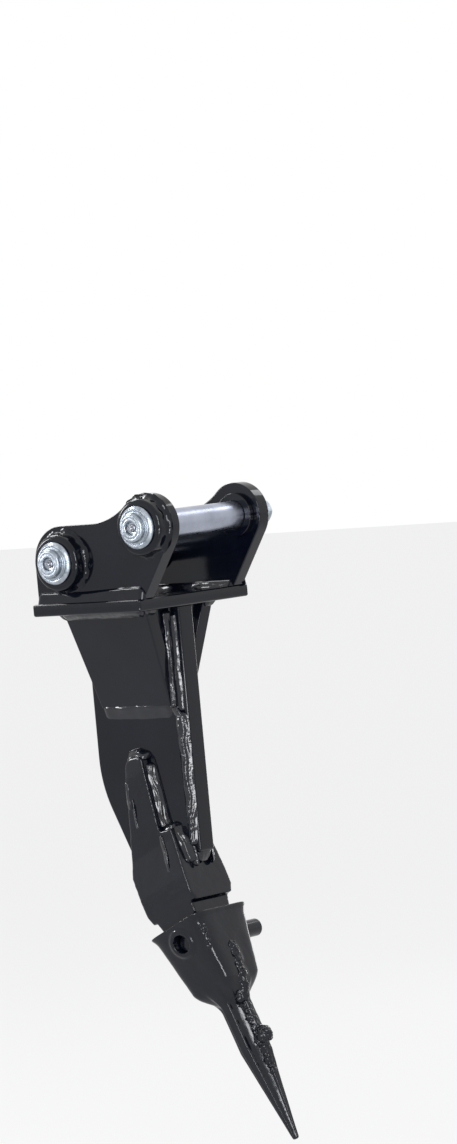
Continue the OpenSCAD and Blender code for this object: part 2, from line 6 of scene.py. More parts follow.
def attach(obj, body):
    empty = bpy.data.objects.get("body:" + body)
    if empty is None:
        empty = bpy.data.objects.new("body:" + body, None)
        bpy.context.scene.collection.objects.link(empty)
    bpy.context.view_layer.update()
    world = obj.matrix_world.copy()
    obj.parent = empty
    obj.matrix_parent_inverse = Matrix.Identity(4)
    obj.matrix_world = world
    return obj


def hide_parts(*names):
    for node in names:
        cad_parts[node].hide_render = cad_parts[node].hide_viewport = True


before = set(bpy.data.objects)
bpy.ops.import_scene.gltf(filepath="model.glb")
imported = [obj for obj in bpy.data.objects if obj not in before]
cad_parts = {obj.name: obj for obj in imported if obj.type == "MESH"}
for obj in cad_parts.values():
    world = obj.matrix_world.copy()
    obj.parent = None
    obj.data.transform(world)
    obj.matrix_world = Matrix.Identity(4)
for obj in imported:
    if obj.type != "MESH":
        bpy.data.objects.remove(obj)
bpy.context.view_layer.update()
mm = 0.001


# Shared steps

def select(piece):
    bpy.ops.object.select_all(action="DESELECT")
    piece.select_set(True)
    bpy.context.view_layer.objects.active = piece


def applyModifier(piece, kind, **settings):
    modifier = piece.modifiers.new(kind.lower(), kind)
    for key, value in settings.items():
        setattr(modifier, key, value)
    select(piece)
    bpy.ops.object.modifier_apply(modifier=modifier.name)


def smoothByAngle(piece, degrees=40):
    select(piece)
    bpy.ops.object.shade_smooth_by_angle(angle=math.radians(degrees))


def nodeCopy(node, name):  # own mesh of a CAD node, merged into whole faces
    piece = bpy.data.objects.new(name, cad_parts[node].data.copy())
    bpy.context.scene.collection.objects.link(piece)
    piece.data.materials.clear()
    select(piece)
    bpy.ops.mesh.customdata_custom_splitnormals_clear()
    bpy.ops.object.mode_set(mode="EDIT")
    bpy.ops.mesh.select_all(action="SELECT")
    bpy.ops.mesh.remove_doubles(threshold=0.01 * mm)
    bpy.ops.mesh.dissolve_limited(angle_limit=math.radians(0.3))
    bpy.ops.object.mode_set(mode="OBJECT")
    return piece


def meshPiece(name, points, faces):  # points in millimetres
    mesh = bpy.data.meshes.new(name)
    mesh.from_pydata([Vector(p) * mm for p in points], [], faces)
    piece = bpy.data.objects.new(name, mesh)
    bpy.context.scene.collection.objects.link(piece)
    select(piece)
    bpy.ops.object.mode_set(mode="EDIT")
    bpy.ops.mesh.select_all(action="SELECT")
    bpy.ops.mesh.normals_make_consistent(inside=False)
    bpy.ops.object.mode_set(mode="OBJECT")
    return piece


def joinInto(piece, others):
    select(piece)
    for other in others:
        other.select_set(True)
    bpy.ops.object.join()


def keep(piece, slot, material, *nodes):
    piece.data.materials.clear()
    piece.data.materials.append(material)
    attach(piece, "root")
    for node in nodes:
        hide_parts(node)


def blend(a, b, t):
    return a + (b - a) * t


def easeStep(low, high, value):
    t = min(1.0, max(0.0, (value - low) / (high - low)))
    return t * t * (3 - 2 * t)


# Camera, fitted to cap centres, plate corners, wear bar, tooth pin and ear tops

camera = {"azimuth": 39.49, "elevation": 2.48, "roll": -5.25, "distance": 5243.21,
          "shiftRight": -32.81, "shiftUp": 54.72, "focalPx": 5000, "imageHeight": 1144}
turn = math.radians(camera["azimuth"])
tilt = math.radians(camera["elevation"])
roll = math.radians(camera["roll"])
backward = Vector((math.sin(turn) * math.cos(tilt), -math.cos(turn) * math.cos(tilt), math.sin(tilt)))
levelRight = Vector((math.cos(turn), math.sin(turn), 0))
levelUp = backward.cross(levelRight)
viewRight = levelRight * math.cos(roll) + levelUp * math.sin(roll)
viewUp = levelUp * math.cos(roll) - levelRight * math.sin(roll)
eye = backward * camera["distance"] - viewRight * camera["shiftRight"] - viewUp * camera["shiftUp"]
eye = eye * mm
lens = bpy.data.cameras.new("photoCamera")
lens.sensor_fit = "VERTICAL"
lens.sensor_height = 36
lens.lens = camera["focalPx"] / camera["imageHeight"] * lens.sensor_height
lens.clip_end = 50
cameraObject = bpy.data.objects.new("photoCamera", lens)
turned = Matrix((viewRight, viewUp, backward)).transposed().to_4x4()
cameraObject.matrix_world = Matrix.Translation(eye) @ turned
bpy.context.scene.collection.objects.link(cameraObject)
bpy.context.scene.camera = cameraObject
bpy.context.scene.view_settings.view_transform = "Standard"
print("camera set")


# World: white where it is seen or mirrored, softer as a light

def seenRays(nodes, links):  # 1 for camera, glossy and transmission rays
    rays = nodes.new("ShaderNodeLightPath")
    mirrored = nodes.new("ShaderNodeMath")
    mirrored.operation = "MAXIMUM"
    links.new(rays.outputs["Is Glossy Ray"], mirrored.inputs[0])
    links.new(rays.outputs["Is Transmission Ray"], mirrored.inputs[1])
    seen = nodes.new("ShaderNodeMath")
    seen.operation = "MAXIMUM"
    links.new(rays.outputs["Is Camera Ray"], seen.inputs[0])
    links.new(mirrored.outputs[0], seen.inputs[1])
    return seen.outputs[0]


world = bpy.data.worlds.new("studio")
bpy.context.scene.world = world
world.use_nodes = True
worldNodes = world.node_tree.nodes
worldLinks = world.node_tree.links
worldNodes.clear()
skyLight = worldNodes.new("ShaderNodeBackground")
skyLight.inputs["Color"].default_value = (0.95, 0.96, 1.0, 1)
skyLight.inputs["Strength"].default_value = 0.12
skySeen = worldNodes.new("ShaderNodeBackground")
skySeen.inputs["Color"].default_value = (1, 1, 1, 1)
skySeen.inputs["Strength"].default_value = 1.0
seenMix = worldNodes.new("ShaderNodeMixShader")
worldLinks.new(seenRays(worldNodes, worldLinks), seenMix.inputs["Fac"])
worldLinks.new(skyLight.outputs[0], seenMix.inputs[1])
worldLinks.new(skySeen.outputs[0], seenMix.inputs[2])
worldOut = worldNodes.new("ShaderNodeOutputWorld")
worldLinks.new(seenMix.outputs[0], worldOut.inputs["Surface"])


# Lamps, each aimed at the middle of the shank

aim = Vector((-0.06, 0, -0.24))
lampReach = 1.9
lampColour = (0.96, 0.97, 1)


def towardEye(height):  # direction of the camera, raised by degrees from the level
    rise = math.radians(height)
    return Vector((math.sin(turn) * math.cos(rise), -math.cos(turn) * math.cos(rise), math.sin(rise)))


lamps = {  # the first four, on the camera's side, draw lines on upright and leaning edges
    "lowBox": {"toward": towardEye(-2.5) * lampReach, "wide": 0.8, "high": 0.13, "power": 6.4},
    "baseBox": {"toward": towardEye(-11) * lampReach, "wide": 0.45, "high": 0.24, "power": 5},
    "middleBox": {"toward": towardEye(14) * lampReach, "wide": 0.5, "high": 0.34, "power": 8.2},
    "highBox": {"toward": towardEye(27) * lampReach, "wide": 0.8, "high": 0.42, "power": 8.4},
    "leftBox": {"toward": Vector((-0.76, -0.6, 0.27)) * lampReach, "wide": 0.45, "high": 0.25, "power": 10},
    "footBox": {"toward": Vector((-0.62, -0.24, 0.75)) * lampReach, "wide": 0.2, "high": 0.42, "power": 4.8},
    "topBox": {"toward": Vector((-0.64, 0.32, 0.7)) * lampReach, "wide": 0.75, "high": 0.2, "power": 8},
    "rearBox": {"toward": Vector((0.3, 1.3, 1.1)), "wide": 0.4, "high": 0.4, "power": 2},
    "rimBox": {"toward": Vector((-0.15, 1.0, -0.03)) * lampReach, "wide": 0.25, "high": 0.9, "power": 3.6},
}
for lampName, lamp in lamps.items():
    light = bpy.data.lights.new(lampName, "AREA")
    light.shape = "RECTANGLE"
    light.size = lamp["wide"]
    light.size_y = lamp["high"]
    light.energy = lamp["power"]
    light.color = lampColour
    lampObject = bpy.data.objects.new(lampName, light)
    lampObject.location = aim + lamp["toward"]
    lampObject.rotation_euler = lamp["toward"].to_track_quat("Z", "Y").to_euler()
    bpy.context.scene.collection.objects.link(lampObject)


# Floor, pale, a little under the tip

floorLook = {"size": 30, "drop": 0.72, "colour": (0.8, 0.8, 0.82, 1), "rough": 0.9, "glow": 1.0,
             "glowShare": 0.85}  # the lit rest keeps a faint shadow
bpy.ops.object.select_all(action="DESELECT")
bpy.ops.mesh.primitive_plane_add(size=floorLook["size"], location=(0, 0, -floorLook["drop"]))
floor = bpy.context.object
floor.name = "studioFloor"
floorMaterial = bpy.data.materials.new("paleFloor")
floorMaterial.use_nodes = True
floorNodes = floorMaterial.node_tree.nodes
floorLinks = floorMaterial.node_tree.links
floorShader = floorNodes["Principled BSDF"]
floorShader.inputs["Base Color"].default_value = floorLook["colour"]
floorShader.inputs["Roughness"].default_value = floorLook["rough"]
floorGlow = floorNodes.new("ShaderNodeEmission")
floorGlow.inputs["Strength"].default_value = floorLook["glow"]
floorShare = floorNodes.new("ShaderNodeMath")
floorShare.operation = "MULTIPLY"
floorShare.inputs[1].default_value = floorLook["glowShare"]
floorMix = floorNodes.new("ShaderNodeMixShader")
floorLinks.new(seenRays(floorNodes, floorLinks), floorShare.inputs[0])
floorLinks.new(floorShare.outputs[0], floorMix.inputs["Fac"])
floorLinks.new(floorShader.outputs[0], floorMix.inputs[1])
floorLinks.new(floorGlow.outputs[0], floorMix.inputs[2])
floorLinks.new(floorMix.outputs[0], floorNodes["Material Output"].inputs["Surface"])
floor.data.materials.append(floorMaterial)
print("stage set")


# Materials, on object coordinates in metres

def newMaterial(name):
    material = bpy.data.materials.new(name)
    material.use_nodes = True
    return material, material.node_tree.nodes, material.node_tree.links


def noiseNode(nodes, links, scale, detail=4.0, rough=0.55):
    place = nodes.new("ShaderNodeTexCoord")
    texture = nodes.new("ShaderNodeTexNoise")
    texture.inputs["Scale"].default_value = scale
    texture.inputs["Detail"].default_value = detail
    texture.inputs["Roughness"].default_value = rough
    links.new(place.outputs["Object"], texture.inputs["Vector"])
    return texture


def rampNode(nodes, links, source, stops):
    ramp = nodes.new("ShaderNodeValToRGB")
    ramp.color_ramp.elements[0].position = stops[0][0]
    ramp.color_ramp.elements[0].color = (*stops[0][1], 1)
    ramp.color_ramp.elements[1].position = stops[-1][0]
    ramp.color_ramp.elements[1].color = (*stops[-1][1], 1)
    links.new(source, ramp.inputs["Fac"])
    return ramp


def rangeNode(nodes, links, source, low, high, fromLow=0.3, fromHigh=0.7):
    spread = nodes.new("ShaderNodeMapRange")
    spread.inputs["From Min"].default_value = fromLow
    spread.inputs["From Max"].default_value = fromHigh
    spread.inputs["To Min"].default_value = low
    spread.inputs["To Max"].default_value = high
    links.new(source, spread.inputs["Value"])
    return spread


def bumpNode(nodes, links, source, strength, distance, before=None):
    bump = nodes.new("ShaderNodeBump")
    bump.inputs["Strength"].default_value = strength
    bump.inputs["Distance"].default_value = distance * mm
    links.new(source, bump.inputs["Height"])
    if before:
        links.new(before.outputs["Normal"], bump.inputs["Normal"])
    return bump


def paintMaterial(name, look):
    material, nodes, links = newMaterial(name)
    shader = nodes["Principled BSDF"]
    shader.inputs["Specular IOR Level"].default_value = look["specular"]
    clouds = noiseNode(nodes, links, look["cloudScale"], 5)
    tint = rampNode(nodes, links, clouds.outputs["Fac"], [(0.3, look["dark"]), (0.72, look["light"])])
    links.new(tint.outputs["Color"], shader.inputs["Base Color"])
    haze = noiseNode(nodes, links, look["hazeScale"], 6)
    gloss = rangeNode(nodes, links, haze.outputs["Fac"], look["rough"][0], look["rough"][1])
    links.new(gloss.outputs["Result"], shader.inputs["Roughness"])
    peel = noiseNode(nodes, links, look["peelScale"], 2, 0.4)
    bump = bumpNode(nodes, links, peel.outputs["Fac"], look["peel"], 0.25)
    if "grain" in look:
        grain = noiseNode(nodes, links, look["grainScale"], 6, 0.65)
        bump = bumpNode(nodes, links, grain.outputs["Fac"], look["grain"], 1.0, bump)
    links.new(bump.outputs["Normal"], shader.inputs["Normal"])
    return material


def metalMaterial(name, look):
    material, nodes, links = newMaterial(name)
    shader = nodes["Principled BSDF"]
    shader.inputs["Metallic"].default_value = 1.0
    clouds = noiseNode(nodes, links, look["cloudScale"], 5)
    tint = rampNode(nodes, links, clouds.outputs["Fac"], [(0.3, look["dark"]), (0.7, look["light"])])
    links.new(tint.outputs["Color"], shader.inputs["Base Color"])
    haze = noiseNode(nodes, links, look["hazeScale"], 6)
    gloss = rangeNode(nodes, links, haze.outputs["Fac"], look["rough"][0], look["rough"][1])
    links.new(gloss.outputs["Result"], shader.inputs["Roughness"])
    grain = noiseNode(nodes, links, look["grainScale"], 3, 0.5)
    bump = bumpNode(nodes, links, grain.outputs["Fac"], look["grain"], 0.15)
    links.new(bump.outputs["Normal"], shader.inputs["Normal"])
    return material


blackPaint = {"dark": (0.002, 0.003, 0.007), "light": (0.004, 0.0055, 0.011)}
plateLook = {**blackPaint, "cloudScale": 18, "hazeScale": 45, "rough": (0.06, 0.11),
             "peelScale": 260, "peel": 0.05, "specular": 0.31}
castLook = {**blackPaint, "cloudScale": 40, "hazeScale": 90, "rough": (0.08, 0.15),
            "peelScale": 380, "peel": 0.1, "grain": 0.06, "grainScale": 240, "specular": 0.36}
weldLook = {**blackPaint, "cloudScale": 60, "hazeScale": 120, "rough": (0.09, 0.16),
            "peelScale": 380, "peel": 0.08, "specular": 0.55}
capLook = {"dark": (0.22, 0.26, 0.3), "light": (0.46, 0.5, 0.55), "cloudScale": 220, "hazeScale": 300,
           "rough": (0.24, 0.42), "grainScale": 900, "grain": 0.3}
pinLook = {"dark": (0.3, 0.32, 0.39), "light": (0.44, 0.47, 0.56), "cloudScale": 30, "hazeScale": 80,
           "rough": (0.24, 0.36), "grainScale": 700, "grain": 0.08}
# darker zinc for the nipples: painted shade of the recess they sit in
nippleLook = {"dark": (0.16, 0.17, 0.19), "light": (0.34, 0.35, 0.38), "cloudScale": 200, "hazeScale": 300,
              "rough": (0.25, 0.45), "grainScale": 900, "grain": 0.2}
screwLook = {"dark": (0.12, 0.12, 0.14), "light": (0.26, 0.26, 0.29), "cloudScale": 200, "hazeScale": 300,
             "rough": (0.25, 0.45), "grainScale": 900, "grain": 0.2}
glossPaint = paintMaterial("glossBlackPaint", plateLook)
castPaint = paintMaterial("paintedCastSteel", castLook)
weldPaint = paintMaterial("paintedWeld", weldLook)
zincPlate = metalMaterial("zincPlate", capLook)
pinSteel = metalMaterial("brightSteel", pinLook)
zincPaintedShade = metalMaterial("zincPaintedShade", nippleLook)
darkSteel = metalMaterial("darkSteel", screwLook)
print("materials made")


# Plates, turned parts and fasteners: CAD outlines with rounded edges

dressed = {
    "near_ear_plate": {"edge": 2.5, "slot": "gloss_black_paint", "material": glossPaint},
    "far_ear_plate": {"edge": 2.5, "slot": "gloss_black_paint", "material": glossPaint},
    "base_plate": {"edge": 2.5, "slot": "gloss_black_paint", "material": glossPaint},
    "shank_blade": {"edge": 2.2, "slot": "gloss_black_paint", "material": glossPaint},
    "near_cheek_plate": {"edge": 2.2, "slot": "gloss_black_paint", "material": glossPaint},
    "far_cheek_plate": {"edge": 2.2, "slot": "gloss_black_paint", "material": glossPaint},
    "throat_plates": {"edge": 0.5, "slot": "gloss_black_paint", "material": glossPaint},
    "front_wear_bar": {"edge": 2.2, "slot": "gloss_black_paint", "material": glossPaint},
    "front_far_collar": {"edge": 0.8, "slot": "gloss_black_paint", "material": glossPaint},
    "rear_far_collar": {"edge": 0.8, "slot": "gloss_black_paint", "material": glossPaint},
    "front_bay_rings": {"edge": 0.9, "slot": "gloss_black_paint", "material": glossPaint},
    "rear_bay_rings": {"edge": 0.9, "slot": "gloss_black_paint", "material": glossPaint},
    "tooth_pin": {"edge": 0.7, "slot": "painted_cast_steel", "material": castPaint},
    "tooth_pin_keeper": {"edge": 0.5, "slot": "bright_steel", "material": pinSteel},
    "front_hitch_pin": {"edge": 0.4, "slot": "bright_steel", "material": pinSteel},
    "rear_hitch_pin": {"edge": 0.4, "slot": "bright_steel", "material": pinSteel},
    "pin_washers": {"edge": 0.5, "slot": "zinc_plate", "material": zincPlate},
    "pin_bolts": {"edge": 0.5, "slot": "zinc_plate", "material": zincPlate},
    "boss_lock_screws": {"edge": 0.4, "slot": "dark_steel", "material": darkSteel},
}
for node, dress in dressed.items():
    piece = nodeCopy(node, node + "_dressed")
    applyModifier(piece, "BEVEL", width=dress["edge"] * mm, segments=3, limit_method="ANGLE",
                  angle_limit=math.radians(32))
    smoothByAngle(piece, 38)
    applyModifier(piece, "WEIGHTED_NORMAL", keep_sharp=True)
    keep(piece, dress["slot"], dress["material"], node)
print("plates dressed")


# Turned pieces on the near ear: profiles of radius and height off a face, outwards

frontPin = (0.0, 0.0)
rearPin = (-118.0, -32.0)
earFace = -82.0
bossFace = -97.0


def turnedPiece(name, profile, centre, faceY, steps=96, lumps=0.0):  # lumps: roughness of a welded foot
    points = []
    for k in range(steps):
        a = 2 * math.pi * k / steps
        for r, h in profile:
            place = Vector((centre[0] + r * math.cos(a), faceY - h, centre[1] + r * math.sin(a)))
            swell = lumps * noise.noise(place * 0.13) * easeStep(13, 7, h) * easeStep(20, 28, r)
            points.append(place + Vector((math.cos(a), -0.6, math.sin(a))) * swell)
    n = len(profile)
    faces = [[k * n + i, k * n + i + 1, ((k + 1) % steps) * n + i + 1, ((k + 1) % steps) * n + i]
             for k in range(steps) for i in range(n - 1)]
    piece = meshPiece(name, points, faces)
    select(piece)
    bpy.ops.object.mode_set(mode="EDIT")
    bpy.ops.mesh.select_all(action="SELECT")
    bpy.ops.mesh.remove_doubles(threshold=0.005 * mm)
    bpy.ops.mesh.normals_make_consistent(inside=False)
    bpy.ops.object.mode_set(mode="OBJECT")
    return piece


# Boss collars: rounded, with a welded foot on the ear
boss = {"bore": 15.4, "radius": 29.6, "height": 14.9, "round": 3.6, "foot": 6.0, "footRise": 0.2, "back": 0.1,
        "steps": 144, "lumps": 1.6}
quarter = [math.pi / 2 * k / 8 for k in range(9)]
bossRound = [(boss["radius"] + boss["round"] * (math.sin(a) - 1),
              boss["height"] + boss["round"] * (math.cos(a) - 1)) for a in quarter]
bossFoot = [(boss["radius"] + boss["foot"] * (1 - math.cos(a)),
             boss["footRise"] + boss["foot"] * (1 - math.sin(a))) for a in quarter]
bossProfile = [(boss["bore"], boss["back"]), (boss["bore"], boss["height"]), *bossRound, *bossFoot,
               (boss["radius"] + boss["foot"], boss["back"]), (boss["bore"], boss["back"])]
for bossNode, centre in (("front_near_boss", frontPin), ("rear_near_boss", rearPin)):
    collar = turnedPiece(bossNode + "_turned", bossProfile, centre, earFace, boss["steps"], boss["lumps"])
    smoothByAngle(collar, 40)
    keep(collar, "gloss_black_paint", glossPaint, bossNode)

# End caps: plated, with a hub, a groove and a recess for the nipple
capProfile = [
    (0.0, 0.2), (22.0, 0.2), (22.5, 0.7), (22.5, 2.2), (21.9, 3.2), (20.2, 4.7), (19.5, 5.0), (18.2, 5.0),
    (17.9, 4.4), (17.3, 4.4), (17.0, 5.0), (16.2, 5.0), (15.5, 5.2), (15.0, 6.0), (15.0, 9.6), (14.4, 11.2),
    (13.2, 12.0), (11.2, 12.0), (11.0, 11.7), (10.7, 11.7), (10.5, 12.0), (8.0, 12.0), (7.4, 11.6),
    (6.9, 9.4), (6.3, 8.2), (0.0, 8.0)]
for capNode, centre in (("front_near_cap", frontPin), ("rear_near_cap", rearPin)):
    cap = turnedPiece(capNode + "_turned", capProfile, centre, bossFace)
    applyModifier(cap, "BEVEL", width=0.25 * mm, segments=2, limit_method="ANGLE",
                  angle_limit=math.radians(20))
    smoothByAngle(cap, 30)
    keep(cap, "zinc_plate", zincPlate, capNode)

# Grease nipples, joined into one piece, in darker zinc that paints the shade of the caps' recess
nippleProfile = [
    (0.0, 7.5), (4.0, 7.5), (4.0, 9.2), (3.4, 9.8), (2.2, 9.8), (1.6, 10.6), (1.6, 11.2), (2.1, 11.9),
    (2.1, 12.5), (1.5, 13.0), (0.6, 13.0), (0.4, 12.7), (0.0, 12.7)]
nipples = [turnedPiece("nipple", nippleProfile, centre, bossFace, 36) for centre in (frontPin, rearPin)]
joinInto(nipples[0], nipples[1:])
nipplePair = nipples[0]
nipplePair.name = "grease_nipples_turned"
smoothByAngle(nipplePair, 30)
keep(nipplePair, "zinc_plate", zincPaintedShade, "grease_nipples")
print("caps turned")


# Tooth and nose frame

rimCentre = Vector((-50.0, 0.0, -424.0))
noseTilt = math.radians(25)
axisFore = Vector((math.cos(noseTilt), 0, math.sin(noseTilt)))
axisUp = Vector((-math.sin(noseTilt), 0, math.cos(noseTilt)))
axisFar = Vector((0, 1, 0))


def onNose(fore, across, up):
    return rimCentre + axisFore * fore + axisFar * across + axisUp * up


# Nose adapter: the CAD casting, rounded and roughened as cast

castings = {"voxel": 1.0, "adapterSmooth": 24, "lumpSize": 14, "lumpDepth": 0.4}
adapter = nodeCopy("nose_adapter", "nose_adapter_cast")
applyModifier(adapter, "REMESH", mode="VOXEL", voxel_size=castings["voxel"] * mm)
applyModifier(adapter, "SMOOTH", factor=0.5, iterations=castings["adapterSmooth"])
castLumps = bpy.data.textures.new("castLumps", "CLOUDS")
castLumps.noise_scale = castings["lumpSize"] * mm
castLumps.noise_depth = 2
applyModifier(adapter, "DISPLACE", texture=castLumps, strength=castings["lumpDepth"] * mm, mid_level=0.5,
              texture_coords="LOCAL")
smoothByAngle(adapter, 60)
keep(adapter, "painted_cast_steel", castPaint, "nose_adapter")
print("adapter cast")


# Tooth: socket body, four-ribbed spike, rough spine and pin bosses

tooth = {"length": 254, "rimFore": 37, "rimAcross": 43, "bodyEnd": 72, "bodyTaper": 76, "bodySquare": 7,
         "lowFore": 29, "lowAcross": 28, "neck": 30, "rib": 18.0, "ribShare": 0.33, "ribSquare": 9,
         "fluteShare": 1.12, "fluteHollow": 0.075, "taperAt": 148, "tip": 3.5, "tipClose": 0.4,
         "flare": 3, "flareLength": 12, "lipRound": 2.6, "lipEnd": 2.2, "around": 208, "along": 236,
         "pinAt": 21, "pinRadius": 9.7, "pinBoss": 2.6, "pinBossEdge": (17, 13.5), "pinBossFrom": 30,
         "spineHalf": 5.5, "spineStart": (38, 52), "spineStop": (160, 182), "spineSway": 1.4,
         "coarse": 0.3, "fine": 0.12, "spikeRough": 0.4, "spikeFrom": (80, 110),
         "socketFore": 27.6, "socketAcross": 30.6}


def ribRadius(u):
    share = max(0.0, u - tooth["taperAt"]) / (tooth["length"] - tooth["taperAt"])
    return blend(tooth["rib"], tooth["tip"], share)


def superRadius(angle, halfFore, halfAcross, power):
    c = abs(math.cos(angle)) / halfFore
    s = abs(math.sin(angle)) / halfAcross
    return (c ** power + s ** power) ** (-1 / power)


def toothPoint(u, angle):
    t = min(1.0, u / tooth["bodyTaper"])
    lip = tooth["flare"] * max(0.0, 1 - u / tooth["flareLength"]) ** 2
    body = superRadius(angle, blend(tooth["rimFore"], tooth["lowFore"], t) + lip,
                       blend(tooth["rimAcross"], tooth["lowAcross"], t) + lip, tooth["bodySquare"])
    body -= tooth["lipRound"] * (1 - math.sqrt(1 - max(0.0, 1 - u / tooth["lipRound"]) ** 2))
    rib = ribRadius(u)
    thick = rib * tooth["ribShare"]
    square = tooth["ribSquare"]
    cross = max(superRadius(angle, rib, thick, square), superRadius(angle, thick, rib, square))
    flute = tooth["fluteShare"] * rib / (abs(math.cos(angle)) + abs(math.sin(angle)))
    flute *= 1 - tooth["fluteHollow"] * math.sin(2 * angle) ** 2  # hollowed a little
    cross = max(cross, min(flute, superRadius(angle, rib, rib, square)))
    radius = blend(body, cross, easeStep(tooth["bodyEnd"], tooth["bodyEnd"] + tooth["neck"], u))
    fore = radius * math.cos(angle)
    across = radius * math.sin(angle)
    return fore, across


points = []
around = tooth["around"]
levels = [0.0, 0.15, 0.45, 0.9, 1.5]  # close together on the rounded lip
for k in range(tooth["along"] + 1):
    levels.append(tooth["lipEnd"] + (tooth["length"] - tooth["lipEnd"]) * k / tooth["along"])
along = len(levels) - 1
for k, u in enumerate(levels):
    for i in range(around):
        angle = 2 * math.pi * i / around
        fore, across = toothPoint(u, angle)
        if k == along:
            fore *= tooth["tipClose"]
            across *= tooth["tipClose"]
        outward = Vector((math.cos(angle), math.sin(angle)))
        spine = math.exp(-(across / tooth["spineHalf"]) ** 4) if fore > 0 else 0.0  # front rib only
        spineRun = easeStep(*tooth["spineStart"], u) * (1 - easeStep(*tooth["spineStop"], u))
        chain = 1.0 + tooth["spineSway"] * noise.noise(Vector((u * 0.14, 3.1, across * 0.12)))
        push = spine * spineRun * chain
        side = Vector((fore, u - tooth["pinAt"])).length  # off the pin hole's middle
        onSide = abs(across) > tooth["pinBossFrom"]
        pinBoss = tooth["pinBoss"] * easeStep(*tooth["pinBossEdge"], side) if onSide else 0.0
        coarse = noise.noise(Vector((fore, across, u * 0.5)) * 0.1)
        fine = noise.noise(Vector((fore, across, u)) * 0.3)
        rough = tooth["coarse"] * coarse + tooth["fine"] * fine
        rough *= blend(1, tooth["spikeRough"], easeStep(*tooth["spikeFrom"], u))  # smoother than the body
        fore += outward.x * (push + rough)
        across += outward.y * rough + math.copysign(pinBoss, across)
        points.append(onNose(fore, across, -u))
socket = [(0.0, 0.0), (30.0, 4.0), (66.0, 12.0)]  # depth and draw of the socket's inner walls
for depth, draw in socket:
    for i in range(around):
        angle = 2 * math.pi * i / around
        r = superRadius(angle, tooth["socketFore"] - draw, tooth["socketAcross"] - draw, tooth["bodySquare"])
        points.append(onNose(r * math.cos(angle), r * math.sin(angle), -depth))
faces = []
for k in range(along):
    for i in range(around):
        j = (i + 1) % around
        faces.append((k * around + i, k * around + j, (k + 1) * around + j, (k + 1) * around + i))
inner = (along + 1) * around
for i in range(around):
    j = (i + 1) % around
    faces.append((i, inner + i, inner + j, j))
    for k in range(len(socket) - 1):
        base = inner + k * around
        faces.append((base + i, base + around + i, base + around + j, base + j))
faces.append(tuple(along * around + i for i in range(around)))
faces.append(tuple(inner + (len(socket) - 1) * around + i for i in reversed(range(around))))
toothPiece = meshPiece("ripper_tooth_cast", points, faces)
bpy.ops.object.select_all(action="DESELECT")
bpy.ops.mesh.primitive_cylinder_add(vertices=64, radius=tooth["pinRadius"] * mm, depth=0.14,
                                    location=onNose(0, 0, -tooth["pinAt"]) * mm, rotation=(math.pi / 2, 0, 0))
drill = bpy.context.object
applyModifier(toothPiece, "BOOLEAN", object=drill, operation="DIFFERENCE", solver="EXACT")
bpy.data.objects.remove(drill)
applyModifier(toothPiece, "SMOOTH", factor=0.4, iterations=3)

# Rough metal along the front rib and the body's near corner: small lumps in rows, and one ball
grit = {"from": 42, "to": 182, "step": 5.5, "size": 7.0, "rough": 2.0, "aside": 2.5, "cuts": 4,
        "ballAt": 141, "ballSize": 9.6, "ballFore": 19.5, "ballAcross": -1.5, "ballCuts": 5,
        "corner": (13, 19, 25, 31, 38), "cornerSize": 5.0, "cornerAngle": -0.84, "cornerSunk": 0.86}


def roughLump(u, fore, across, size, cuts):
    bpy.ops.object.select_all(action="DESELECT")
    middle = onNose(fore, across, -u) * mm
    bpy.ops.mesh.primitive_ico_sphere_add(subdivisions=cuts, radius=size * mm, location=middle)
    lump = bpy.context.object
    bpy.ops.object.transform_apply(location=True, rotation=True, scale=True)
    for vertex in lump.data.vertices:
        spot = vertex.co / mm
        swell = noise.noise(spot * 0.22) + 0.5 * noise.noise(spot * 0.5)
        vertex.co += (vertex.co - middle).normalized() * grit["rough"] * swell * mm
    return lump


lumps = [roughLump(grit["ballAt"], grit["ballFore"], grit["ballAcross"], grit["ballSize"], grit["ballCuts"])]
for u in grit["corner"]:
    corner = Vector(toothPoint(u, grit["cornerAngle"]))
    fore, across = corner * (1 - grit["cornerSunk"] * grit["cornerSize"] / corner.length)
    lumps.append(roughLump(u, fore, across, grit["cornerSize"], grit["cuts"]))
u = grit["from"]
while u < grit["to"]:
    sway = noise.noise(Vector((u * 0.31, 4.2, 0.7)))
    swing = noise.noise(Vector((u * 0.23, 1.1, 5.3)))
    size = grit["size"] * (1 + 0.5 * swing) * blend(1, 0.55, easeStep(140, 182, u))  # smaller toward the tip
    sunk = blend(0.5, 0.78, easeStep(85, 108, u))  # share of the lump's radius inside the rib
    fore = toothPoint(u, 0)[0] - sunk * size
    lumps.append(roughLump(u, fore, 3 * sway - grit["aside"], size, grit["cuts"]))
    u += grit["step"] * (1 + 0.5 * sway)
joinInto(toothPiece, lumps)
smoothByAngle(toothPiece, 55)
keep(toothPiece, "painted_cast_steel", castPaint, "ripper_tooth")
print("tooth cast")


# Weld beads: rippled fillets, each given as stations of root, two toes and crown height

beadGrid = {"step": 0.7, "across": 12, "fewest": 10}


